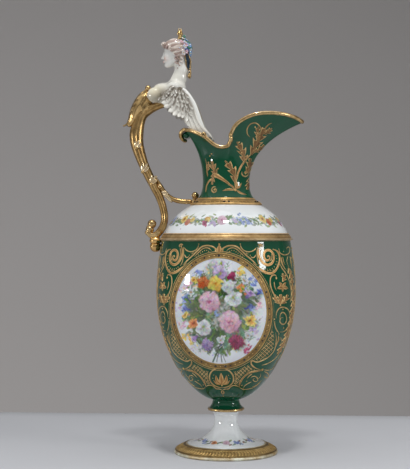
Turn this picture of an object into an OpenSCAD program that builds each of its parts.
// Footed porcelain ewer: a bolted foot, an ovoid body, a domed shoulder, a necked pouring lip,
// and a gilt scroll handle that carries a winged female bust.
// Millimetres, +Z up. The origin is the centre of the standing ring, and the spout points along +X.

/* [Foot] */
// Radius of the standing ring
base_r = 57; // [54:0.5:60]
// Height of the standing ring
base_h = 11; // [10:0.25:12]
// Radius of the stem at its waist
stem_r = 12.4; // [11.5:0.1:13.5]
// Height of the seam between foot and body
seam_h = 47.5; // [46:0.25:49]

/* [Body] */
// Widest radius of the body
belly_r = 76; // [74:0.25:78]
// Height of the widest radius
belly_h = 182; // [178:0.5:186]
// Radius of the body at its top edge
brim_r = 71; // [70:0.25:72]
// Height of the body's top edge
brim_h = 231.5; // [230:0.25:233]
// Wall of the thrown pieces
wall = 4.5; // [4:0.25:5]

/* [Shoulder] */
// Height of the gilt band between body and shoulder
band_h = 8.3; // [7.5:0.1:9]
// Radius of the shoulder where the neck collar sits
crown_r = 39.5; // [38:0.25:41]
// Height of the dome of the shoulder
dome_h = 31.7; // [30:0.25:33]

/* [Neck and lip] */
// Height of the gilt collar under the neck
collar_h = 8; // [7:0.25:9]
// Radius of the neck at its waist
neck_r = 25.6; // [24.5:0.1:26.5]
// Height of the neck's waist above the collar
waist_rise = 17.5; // [16:0.25:19]
// Wall of the moulded neck and lip
lip_wall = 3.4; // [3:0.1:3.8]
// Radius of the bead along the lip
bead_r = 2.4; // [2.1:0.1:2.7]

/* [Handle] */
// Radius of the handle at its thickest
grip_r = 7.2; // [6.8:0.1:7.6]
// Radius of the branch that runs to the neck collar
branch_r = 2.7; // [2.4:0.1:2.9]
// Radius of the ball that ends the lower volute
ball_r = 4.4; // [4:0.1:4.8]

/* [Figure] */
// Thickness of a wing
wing_t = 4.6; // [4:0.1:5]
// Radius of the skull
skull_r = 11.5; // [11:0.1:12]

/* [Fixings] */
// Radius of the tie bolt
bolt_r = 4; // [3.5:0.1:4.2]
// Across-corners radius of the bolt head and nut
hex_r = 8; // [7.5:0.1:8.5]

/* [Hidden] */
$fn = 96;

PORCELAIN = "whitesmoke";
GREEN = [0.07, 0.32, 0.2];
GILT = [0.72, 0.55, 0.26];
BRASS = [0.7, 0.58, 0.32];

// Heights up the axis, each from the one below
band_top = brim_h + band_h;
crown_h = band_top + dome_h;
collar_top = crown_h + collar_h;
waist_h = collar_top + waist_rise;

// Radii and heights of the turned pieces
seam_r = 19.5;
collar_foot_r = 14.7;
ovoid_h = seam_h + 11;
floor_h = seam_h + 16.5;
floor_r = 16;
gasket_t = 0.6;
boss_r = 9;
boss_h = 2;
bolt_clear = 0.6;
pocket_h = 22;
pocket_r = 13;
ring_bore = 33;
band_r = brim_r + 1.7;
tongue_t = 1.6;
tongue_h = 2;
slip = 0.15;
spigot_r = neck_r + 0.6;
spigot_h = 6;
washer_t = 1.5;

// Anchors: the handle is placed from the outer edge of the shoulder band
grip_x = -band_r;
grip_z = brim_h;

CURVE_STEPS = 14;
TUBE_SIDES = 12;

// Cubic curve through its two ends
function curve_point(p, t) =
    p[0] * pow(1 - t, 3) + p[1] * 3 * t * pow(1 - t, 2) + p[2] * 3 * t * t * (1 - t) + p[3] * pow(t, 3);
function curve(p, steps = CURVE_STEPS) = [for (i = [0 : steps]) curve_point(p, i / steps)];
function reversed(list) = [for (i = [len(list) - 1 : -1 : 0]) list[i]];
function unit(v) = v / max(norm(v), 1e-9);

// Smooth line through listed points, at u from 0 to the last index
function smooth_step(a, b, c, d, t) =
    0.5 * (2 * b + (c - a) * t + (2 * a - 5 * b + 4 * c - d) * t * t + (3 * b - a - 3 * c + d) * t * t * t);
function on_line(p, u) =
    let (last = len(p) - 1, i = min(floor(u), last - 1))
    smooth_step(p[max(i - 1, 0)], p[i], p[i + 1], p[min(i + 2, last)], u - i);
function on_loop(p, u) =
    let (n = len(p), i = floor(u))
    smooth_step(p[(i + n - 1) % n], p[i % n], p[(i + 1) % n], p[(i + 2) % n], u - i);

// Round tube along a route in the XZ plane, from one of its points to another. A point is [x, z, radius].
function tube_points(route, first, rings, per_span, sides) =
    [for (k = [0 : rings])
        let (
            u = first + k / per_span,
            here = on_line(route, u),
            ahead = on_line(route, min(u + 0.01, len(route) - 1)),
            behind = on_line(route, max(u - 0.01, 0)),
            along = unit([ahead[0] - behind[0], ahead[1] - behind[1]])
        )
        for (s = [0 : sides - 1])
            let (a = 360 * s / sides, out = here[2] * cos(a))
            [here[0] - along[1] * out, here[2] * sin(a), here[1] + along[0] * out]];

module tube(route, first = 0, last = -1, per_span = 4, sides = TUBE_SIDES) {
    rings = ((last < 0 ? len(route) - 1 : last) - first) * per_span;
    walls = [for (k = [0 : rings - 1], s = [0 : sides - 1])
        let (next = (s + 1) % sides)
        [k * sides + s, k * sides + next, (k + 1) * sides + next, (k + 1) * sides + s]];
    halves = [for (w = walls) each [[w[0], w[1], w[2]], [w[0], w[2], w[3]]]];
    start_cap = [for (s = [sides - 1 : -1 : 0]) s];
    end_cap = [for (s = [0 : sides - 1]) rings * sides + s];
    polyhedron(tube_points(route, first, rings, per_span, sides), concat(halves, [start_cap, end_cap]));
}

// Route given as offsets from the shoulder band's outer edge
function from_band(route) = [for (p = route) [grip_x + p[0], grip_z + p[1], p[2]]];

module turned(outline) {
    rotate_extrude() polygon(outline);
}

module hexagon(height) {
    cylinder(r = hex_r, h = height, $fn = 6);
}

module flat_washer(radius, thickness) {
    difference() {
        cylinder(r = radius, h = thickness);
        translate([0, 0, -1]) cylinder(r = bolt_r + bolt_clear, h = thickness + 2);
    }
}

// Foot

module base_ring() {
    rim_r = 2.25;
    slope = curve([
        [base_r - 0.7, 2 * rim_r], [base_r - 3, 2 * rim_r + 3.4],
        [base_r - 8, base_h - 1.6], [base_r - 13, base_h - 0.7]
    ], 6);
    rim = [for (a = [-60 : 20 : 90]) [base_r - rim_r + rim_r * cos(a), rim_r + rim_r * sin(a)]];
    color(GILT)
        turned(concat(
            [[ring_bore, 5], [base_r - 9, 0.6], [base_r - 8.5, 0], [base_r - 2, 0]],
            rim,
            slope,
            [[base_r - 17.5, base_h], [ring_bore, base_h]]
        ));
}

module foot() {
    flare = curve([[base_r - 18.1, base_h], [27, base_h + 4.5], [stem_r + 0.2, base_h + 11], [stem_r, 33]]);
    stem_top = curve([
        [stem_r, 33], [stem_r, seam_h - 7.5], [stem_r + 1.2, seam_h - 3], [stem_r + 5.2, seam_h - gasket_t]
    ]);
    hollow = curve([
        [29, base_h - 3], [22, base_h + 5], [pocket_r + 1, pocket_h - 3], [pocket_r, pocket_h]
    ], 8);
    color(PORCELAIN)
        difference() {
            turned(concat(
                [[0, pocket_h]],
                reversed(hollow),
                [[ring_bore - slip, base_h - 3], [ring_bore - slip, base_h]],
                flare,
                stem_top,
                [[boss_r, seam_h - gasket_t], [boss_r, seam_h + boss_h], [0, seam_h + boss_h]]
            ));
            translate([0, 0, pocket_h - 1]) cylinder(r = bolt_r + bolt_clear, h = seam_h);
        }
}

module foot_gasket() {
    color("peru")
        translate([0, 0, seam_h - gasket_t])
            difference() {
                cylinder(r = stem_r + 4.6, h = gasket_t);
                translate([0, 0, -1]) cylinder(r = boss_r + slip, h = gasket_t + 2);
            }
}

// Body

module body() {
    tongue_r = brim_r - wall + tongue_t;
    bell = curve([
        [seam_r, seam_h + 1.4], [seam_r - 2, seam_h + 3.4],
        [collar_foot_r, seam_h + 5.5], [collar_foot_r, ovoid_h]
    ], 8);
    lower = curve([
        [collar_foot_r, ovoid_h], [42, ovoid_h + 5.5], [belly_r + 2.5, belly_h - 64], [belly_r, belly_h]
    ], 20);
    upper = curve([
        [belly_r, belly_h], [belly_r, belly_h + 18], [brim_r + 2.5, brim_h - 15.5], [brim_r, brim_h]
    ]);
    inner_lower = curve([
        [belly_r - wall, belly_h], [belly_r - 2.5, belly_h - 61], [40, floor_h + 5], [floor_r, floor_h]
    ], 20);
    color(GREEN)
        difference() {
            turned(concat(
                [[0, seam_h], [seam_r, seam_h]],
                bell,
                lower,
                upper,
                [[tongue_r, brim_h], [tongue_r, brim_h + tongue_h], [brim_r - wall, brim_h + tongue_h]],
                [for (p = reversed(upper)) p - [wall, 0]],
                inner_lower,
                [[0, floor_h]]
            ));
            translate([0, 0, seam_h - 1]) cylinder(r = bolt_r + bolt_clear, h = floor_h);
            translate([0, 0, seam_h - 1]) cylinder(r = boss_r + slip, h = 1 + boss_h + slip);
        }
}

// Shoulder

module shoulder_band() {
    lap_r = brim_r - wall + tongue_t + slip;
    tongue_r = brim_r - wall - 0.6;
    cove = curve([
        [band_r - 0.6, brim_h + 2.4], [band_r - 0.8, brim_h + 5],
        [band_r - 3.4, brim_h + 5.4], [band_r - 4.1, band_top]
    ], 8);
    color(GILT)
        turned(concat(
            [[lap_r, brim_h], [band_r - 0.6, brim_h], [band_r, brim_h + 0.6], [band_r, brim_h + 1.8]],
            cove,
            [[tongue_r, band_top], [tongue_r, band_top + tongue_h]],
            [[tongue_r - tongue_t, band_top + tongue_h], [tongue_r - tongue_t, brim_h + tongue_h + slip]],
            [[lap_r, brim_h + tongue_h + slip]]
        ));
}

module shoulder() {
    edge_r = band_r - 4.9;
    lap_r = brim_r - wall - 0.6 + slip;
    opening_r = spigot_r + slip;
    outer = curve([
        [edge_r, band_top], [edge_r - 3.8, band_top + 12], [crown_r + 16.5, crown_h - 9.5], [crown_r, crown_h]
    ]);
    inner = curve([
        [opening_r, crown_h - 5], [crown_r + 12.5, crown_h - 14.5],
        [edge_r - 9, band_top + 12], [lap_r - tongue_t, band_top + tongue_h + slip]
    ]);
    color(PORCELAIN)
        turned(concat(
            [[lap_r, band_top]],
            outer,
            [[opening_r, crown_h]],
            inner,
            [[lap_r, band_top + tongue_h + slip]]
        ));
}

// Neck and lip

module collar_form(grow = 0) {
    flare = curve([
        [crown_r, crown_h + 1.2], [crown_r - 1.5, crown_h + 4],
        [neck_r + 7, crown_h + 5], [neck_r + 5.4, collar_top]
    ], 8);
    turned(concat(
        [[0, crown_h], [crown_r - 0.6 + grow, crown_h]],
        [for (p = flare) p + [grow, 0]],
        [[0, collar_top]]
    ));
}

module neck_collar() {
    color(GILT)
        difference() {
            collar_form();
            translate([0, 0, crown_h - 1]) cylinder(r = spigot_r + slip, h = collar_h + 2);
        }
}

// Half of the lip from the spout's tip to the back, as offsets from the neck's waist:
// [angle at the waist, x, y, rise, tilt of the wall at the edge, reach of the flare, share of the bead]
LIP_HALF = [
    [0, 84, 0, 65, 22, 42, 1],
    [9, 75, 13, 69.5, 30, 38, 1],
    [20, 59, 24.5, 74, 45, 34, 1],
    [36, 41, 31, 74.8, 58, 30, 1],
    [52, 26.5, 33, 71, 66, 28, 1],
    [66, 13.6, 32.2, 61, 68, 22, 1],
    [77, 7.2, 30.8, 52, 66, 18, 1],
    [85, 5.8, 29.4, 45, 62, 16, 1],
    [94, 0.4, 28.8, 38.4, 56, 14, 1],
    [106, -9.5, 28.4, 36, 52, 13, 1],
    [118, -17, 27.6, 38.5, 50, 14, 1],
    [133, -26, 25, 46, 46, 17, 1],
    [149, -35.5, 19.5, 52.5, 20, 20, 1.15],
    [165, -43.5, 10.5, 53, -45, 24, 1.5],
    [180, -47.5, 0, 51.5, -78, 27, 1.75]
];
LIP_LAST = len(LIP_HALF) - 1;
LIP_LOOP = concat(
    LIP_HALF,
    [for (i = [LIP_LAST - 1 : -1 : 1])
        let (p = LIP_HALF[i])
        [360 - p[0], p[1], -p[2], p[3], p[4], p[5], p[6]]]
);
LIP_SPANS = len(LIP_LOOP);
LIP_PER_SPAN = 3;
LIP_COLUMNS = LIP_SPANS * LIP_PER_SPAN;
LIP_ROWS = 12;
BEAD_STEP = 36;

// Waist angles run on past 360 so that the last span closes smoothly
function waist_angle(u) =
    let (i = floor(u), a = LIP_LOOP[i % LIP_SPANS][0], b = LIP_LOOP[(i + 1) % LIP_SPANS][0])
    a + ((b < a ? b + 360 : b) - a) * (u - i);
function lip_point(u, t) =
    let (
        edge = on_loop(LIP_LOOP, u),
        angle = waist_angle(u),
        low = [neck_r * cos(angle), neck_r * sin(angle), waist_h],
        high = [edge[1], edge[2], waist_h + edge[3]],
        outward = unit([high[0] - low[0], high[1] - low[1]]),
        swing = [outward[0] * cos(edge[4]), outward[1] * cos(edge[4]), sin(edge[4])]
    )
    curve_point([low, low + [0, 0, 0.42 * edge[3]], high - edge[5] * swing, high], t);
function lip_normal(u, t) =
    let (
        across = lip_point(u + 0.02, t) - lip_point(u + LIP_SPANS - 0.02, t),
        up = lip_point(u, min(t + 0.02, 1)) - lip_point(u, max(t - 0.02, 0))
    )
    unit(cross(across, up));

// One upright section of the neck: up the outside, over the bead, down the inside, round the spigot
function neck_section(u) =
    let (
        angle = waist_angle(u),
        radial = function (r, h) [r * cos(angle), r * sin(angle), h],
        skirt = curve([
            [neck_r + 4.9, collar_top], [neck_r + 1.9, collar_top + 4],
            [neck_r, waist_h - 8], [neck_r, waist_h]
        ], 5),
        spigot_foot = collar_top - spigot_h,
        n = lip_normal(u, 1),
        rise = unit(lip_point(u, 1) - lip_point(u, 0.97)),
        middle = lip_point(u, 1) - n * lip_wall / 2,
        roll_r = bead_r * on_loop(LIP_LOOP, u)[6]
    )
    concat(
        [for (i = [0 : len(skirt) - 2]) radial(skirt[i][0], skirt[i][1])],
        [for (i = [0 : LIP_ROWS - 1]) lip_point(u, i / LIP_ROWS)],
        [for (a = [-BEAD_STEP : BEAD_STEP : 180 + BEAD_STEP]) middle + roll_r * (n * cos(a) + rise * sin(a))],
        [for (i = [LIP_ROWS - 1 : -1 : 0])
            lip_point(u, i / LIP_ROWS) - lip_normal(u, i / LIP_ROWS) * lip_wall],
        [radial(neck_r - lip_wall, spigot_foot), radial(spigot_r, spigot_foot), radial(spigot_r, collar_top)]
    );

module neck() {
    sections = [for (k = [0 : LIP_COLUMNS - 1]) neck_section(k / LIP_PER_SPAN)];
    rows = len(sections[0]);
    faces = [for (k = [0 : LIP_COLUMNS - 1], i = [0 : rows - 1])
        let (here = k * rows, next = (k + 1) % LIP_COLUMNS * rows, above = (i + 1) % rows)
        each [[here + i, here + above, next + above], [here + i, next + above, next + i]]];
    color(GREEN)
        polyhedron([for (s = sections) each s], faces);
}

// Eyes of the lip scrolls: their place along the lip loop
SCROLL_PLACE = 11;
scroll_r = 3;
scroll_t = 2.6;

module lip_scrolls() {
    edge = lip_point(SCROLL_PLACE, 1);
    proud = bead_r + 1.2 - lip_wall / 2;
    color(GILT)
        for (side = [-1, 1])
            translate([edge[0], side * (edge[1] + proud), edge[2] + 0.6])
                rotate([side * -90, 0, 0])
                    difference() {
                        cylinder(r = scroll_r, h = scroll_t);
                        translate([0, 0, scroll_t - 1]) cylinder(r = scroll_r / 3, h = 2);
                    }
}

// Handle: the routes are offsets from the band's outer edge, [out, up, radius]

HANDLE_ROUTE = [
    [4.5, 152.4, 3.6], [-4.3, 149.7, 4.2], [-12.6, 145.8, 5], [-20.1, 140.4, 5.9], [-23.8, 131.5, grip_r - 1],
    [-26.3, 120, grip_r], [-26, 110, grip_r - 0.4], [-23.6, 100.2, grip_r - 1.1], [-18.6, 85.9, 5.2],
    [-12.6, 72.7, 4.8], [-6.5, 60.6, 4.4], [-0.5, 48.5, 4.1], [3.4, 36.4, 3.9], [4.8, 26.5, 3.8],
    [3.2, 17.7, 3.8], [-1.2, 10.6, 3.8], [-5.6, 7.2, 3.6], [-10.6, 7.6, 3.2], [-13.2, 11.6, 2.8],
    [-12.4, 16.6, 2.5], [-9.2, 19.8, 2.4]
];
VOLUTE_START = 15;
VOLUTE_TIP = HANDLE_ROUTE[len(HANDLE_ROUTE) - 1];
LUG = [-3.6, 4.8];
lug_r = 2.6;
lug_l = 4;
DROP_BALL = [-5.3, -5];
drop_r = 5.8;
BRANCH_ROUTE = [
    [-5.4, 71.4, 0.9], [-0.4, 63.2, branch_r - 0.6], [3.6, 56.2, branch_r - 0.2], [8.8, 50.4, branch_r],
    [16, 46.4, branch_r], [24.4, 44.5, branch_r], [36, 44.2, branch_r]
];
BRANCH_BUD = [38.6, 53.2];
bud_r = 3.4;

module handle_stem() {
    color(GILT) tube(from_band(HANDLE_ROUTE), last = VOLUTE_START);
}

module handle_volute() {
    color(GILT) {
        tube(from_band(HANDLE_ROUTE), first = VOLUTE_START);
        translate([grip_x + VOLUTE_TIP[0], 0, grip_z + VOLUTE_TIP[1]]) sphere(r = ball_r);
        translate([grip_x + LUG[0], 0, grip_z + LUG[1]])
            rotate([0, 90, 0])
                cylinder(r = lug_r, h = lug_l);
    }
}

module volute_drop() {
    color(GILT)
        translate([grip_x + DROP_BALL[0], 0, grip_z + DROP_BALL[1]]) {
            sphere(r = drop_r);
            cylinder(r = 3.2, h = 7.1);
        }
}

module handle_branch() {
    color(GILT)
        difference() {
            tube(from_band(BRANCH_ROUTE), sides = 10);
            collar_form(slip);
        }
}

module branch_bud() {
    color(GILT)
        difference() {
            translate([grip_x + BRANCH_BUD[0], 0, grip_z + BRANCH_BUD[1]]) {
                sphere(r = bud_r);
                translate([0, 0, -bud_r * 2]) cylinder(r = 1.8, h = bud_r * 2);
            }
            collar_form(slip);
        }
}

// Long leaf laid on the outside of the handle, ending in a curled tip
LEAF_ROUTE = [
    [-15, 167.4, 1.6], [-18.8, 161.8, 2.6], [-23, 153.8, 2.8], [-27.4, 145.3, 2.6], [-31.6, 136.3, 2],
    [-34.8, 130.5, 1.5], [-39, 128, 0.7]
];

module handle_leaf() {
    color(GILT) {
        tube(from_band(LEAF_ROUTE), sides = 8);
        translate([grip_x + LEAF_ROUTE[0][0], 0, grip_z + LEAF_ROUTE[0][1]]) sphere(r = 3);
    }
}

// Husks on the inner side of the handle: a place along the stem, and a length
HUSKS = [[5.6, 9], [7.2, 10], [8, 8]];

module husk(length) {
    rotate_extrude($fn = 32)
        polygon(concat([[0, 0]], curve([[1, 0], [3.6, length * 0.35], [2, length * 0.8], [0, length]], 8)));
}

module handle_husks() {
    color(GILT)
        for (h = HUSKS)
            let (
                here = on_line(HANDLE_ROUTE, h[0]),
                ahead = on_line(HANDLE_ROUTE, h[0] + 0.05),
                along = unit([ahead[0] - here[0], ahead[1] - here[1]]),
                lift = here[2] + 2.3
            )
                translate([grip_x + here[0] - along[1] * lift, 0, grip_z + here[1] + along[0] * lift])
                    rotate([0, atan2(along[0], along[1]), 0])
                        husk(h[1]);
}

// Figure: placed from the top of the handle

bust_x = grip_x - 5.6;
bust_z = grip_z + 161;
half_back = 13;
head_x = grip_x + 17;
head_z = grip_z + 209;
bun_x = head_x + 9;
bun_z = head_z + 4.4;
bun_r = 7.2;

module torso_form() {
    hull($fn = 24) {
        for (side = [-1, 1]) {
            translate([bust_x, side * (half_back - 7.4), bust_z]) sphere(r = 7.4, $fn = 24);
            translate([bust_x + 20, side * (half_back - 6.6), bust_z + 7]) sphere(r = 6.5, $fn = 24);
        }
        translate([bust_x + 26, 0, bust_z + 8.6]) sphere(r = 7.4, $fn = 24);
        translate([bust_x + 12, 0, bust_z - 2]) sphere(r = 6.4, $fn = 24);
    }
    for (side = [-1, 1])
        translate([bust_x - 1, side * 5.4, bust_z - 0.6]) sphere(r = 7.4, $fn = 32);
}

module torso() {
    color(PORCELAIN)
        difference() {
            torso_form();
            tube(from_band([for (p = HANDLE_ROUTE) [p[0], p[1], p[2] + slip]]), last = 4);
        }
}

module head_form() {
    hull($fn = 24) {
        translate([head_x, 0, head_z]) sphere(r = skull_r, $fn = 24);
        translate([head_x - 5.4, 0, head_z - 5.6]) sphere(r = 8.8, $fn = 24);
        translate([head_x - 6.6, 0, head_z - 13]) sphere(r = 3.8, $fn = 24);
    }
}

module head_and_neck() {
    head_form();
    tube([
        [head_x + 3.6, bust_z + 11, 8.4], [head_x + 5.6, bust_z + 20, 7.2],
        [head_x + 5.8, bust_z + 28, 6.8], [head_x + 3.4, head_z - 8, 6.4]
    ]);
}

module head() {
    color(PORCELAIN)
        difference() {
            head_and_neck();
            torso_form();
        }
}

module hair() {
    color("tan")
        difference() {
            hull($fn = 24) {
                translate([head_x + 0.6, 0, head_z + 2]) sphere(r = skull_r + 1.3, $fn = 24);
                translate([head_x - 11.6, 0, head_z + 8]) sphere(r = 4.6, $fn = 24);
                translate([bun_x, 0, bun_z]) sphere(r = bun_r, $fn = 24);
            }
            head_and_neck();
            translate([head_x - 36, -20, head_z - 35]) cube([32, 40, 38]);
        }
}

module hair_ribbon() {
    color("midnightblue")
        tube([
            [bun_x + 6.4, bun_z - 7.4, 1.6], [bun_x + 8, bun_z - 10, 2.6], [bun_x + 6, bun_z - 18, 2.6],
            [bun_x + 6.2, bun_z - 25, 2.2], [bun_x + 5.2, bun_z - 31, 1]
        ], sides = 8);
}

// Small flowers set round the knot of hair: angles up from straight behind
FLOWER_ANGLES = [-20, 25, 70];
FLOWER_SIDES = [-40, 0, 40];
flower_r = 2.7;

module hair_flowers() {
    reach = bun_r + flower_r + slip;
    color("lightsteelblue")
        for (lift = FLOWER_ANGLES, turn = FLOWER_SIDES)
            translate([
                bun_x + reach * cos(lift) * cos(turn),
                reach * cos(lift) * sin(turn),
                bun_z + reach * sin(lift)
            ])
                sphere(r = flower_r, $fn = 24);
}

module crest() {
    color(GILT)
        translate([head_x + 5, 0, head_z + 14.75])
            rotate_extrude($fn = 32)
                polygon([[0, 0], [2.8, 0], [3.2, 2], [2.2, 3.6], [2.6, 9], [1.6, 12], [0, 12.8]]);
}

// One wing in the XZ plane: the leading edge, then feather tips back along the trailing edge
LEADING_EDGE = [
    [9, 171], [20, 170], [28.5, 167.5], [36.5, 158], [43, 146], [48.5, 132.5], [52.8, 120], [59.3, 112.3]
];
FEATHER_TIPS = [[52.5, 114], [46, 118.5], [37.5, 126], [29.5, 130], [22, 134.5], [12.5, 139], [3, 147.5]];
feather_notch = 3;

function wing_outline() = concat(
    [for (k = [0 : 3 * (len(LEADING_EDGE) - 1)]) on_line(LEADING_EDGE, k / 3)],
    [for (i = [0 : len(FEATHER_TIPS) - 1])
        let (tip = FEATHER_TIPS[i], side = unit([-1, 0.8]))
        each [tip, tip + side * 2 + [0, 1], tip + side * 4 + [feather_notch * 0.7, feather_notch]]],
    [[3, 160]]
);

module wing(side) {
    near = side > 0 ? half_back + slip : -half_back - slip - wing_t;
    color(PORCELAIN)
        translate([grip_x, near + wing_t, grip_z])
            rotate([90, 0, 0])
                linear_extrude(wing_t) polygon(wing_outline());
}

module wing_left() {
    wing(-1);
}

module wing_right() {
    wing(1);
}

// Fixings that hold the foot to the body

seal_h = floor_h;
head_washer_h = seal_h + washer_t;
bolt_head_h = head_washer_h + washer_t;
bolt_end_h = 9;

module seal_washer() {
    color("saddlebrown") translate([0, 0, seal_h]) flat_washer(floor_r - 1.5, washer_t);
}

module head_washer() {
    color(BRASS) translate([0, 0, head_washer_h]) flat_washer(floor_r - 3, washer_t);
}

module tie_bolt() {
    color(BRASS) {
        translate([0, 0, bolt_end_h]) cylinder(r = bolt_r, h = bolt_head_h - bolt_end_h);
        translate([0, 0, bolt_head_h]) hexagon(4.5);
    }
}

module foot_washer() {
    color(BRASS) translate([0, 0, pocket_h - washer_t]) flat_washer(pocket_r - 1.5, washer_t);
}

module foot_nut() {
    nut_h = 6.5;
    color(BRASS)
        translate([0, 0, pocket_h - washer_t - nut_h])
            difference() {
                hexagon(nut_h);
                translate([0, 0, -1]) cylinder(r = bolt_r + 0.05, h = nut_h + 2);
            }
}

base_ring();
foot();
foot_gasket();
body();
shoulder_band();
shoulder();
neck_collar();
neck();
lip_scrolls();
handle_stem();
handle_volute();
volute_drop();
handle_branch();
branch_bud();
handle_leaf();
handle_husks();
torso();
head();
hair();
hair_ribbon();
hair_flowers();
crest();
wing_left();
wing_right();
tie_bolt();
seal_washer();
head_washer();
foot_washer();
foot_nut();
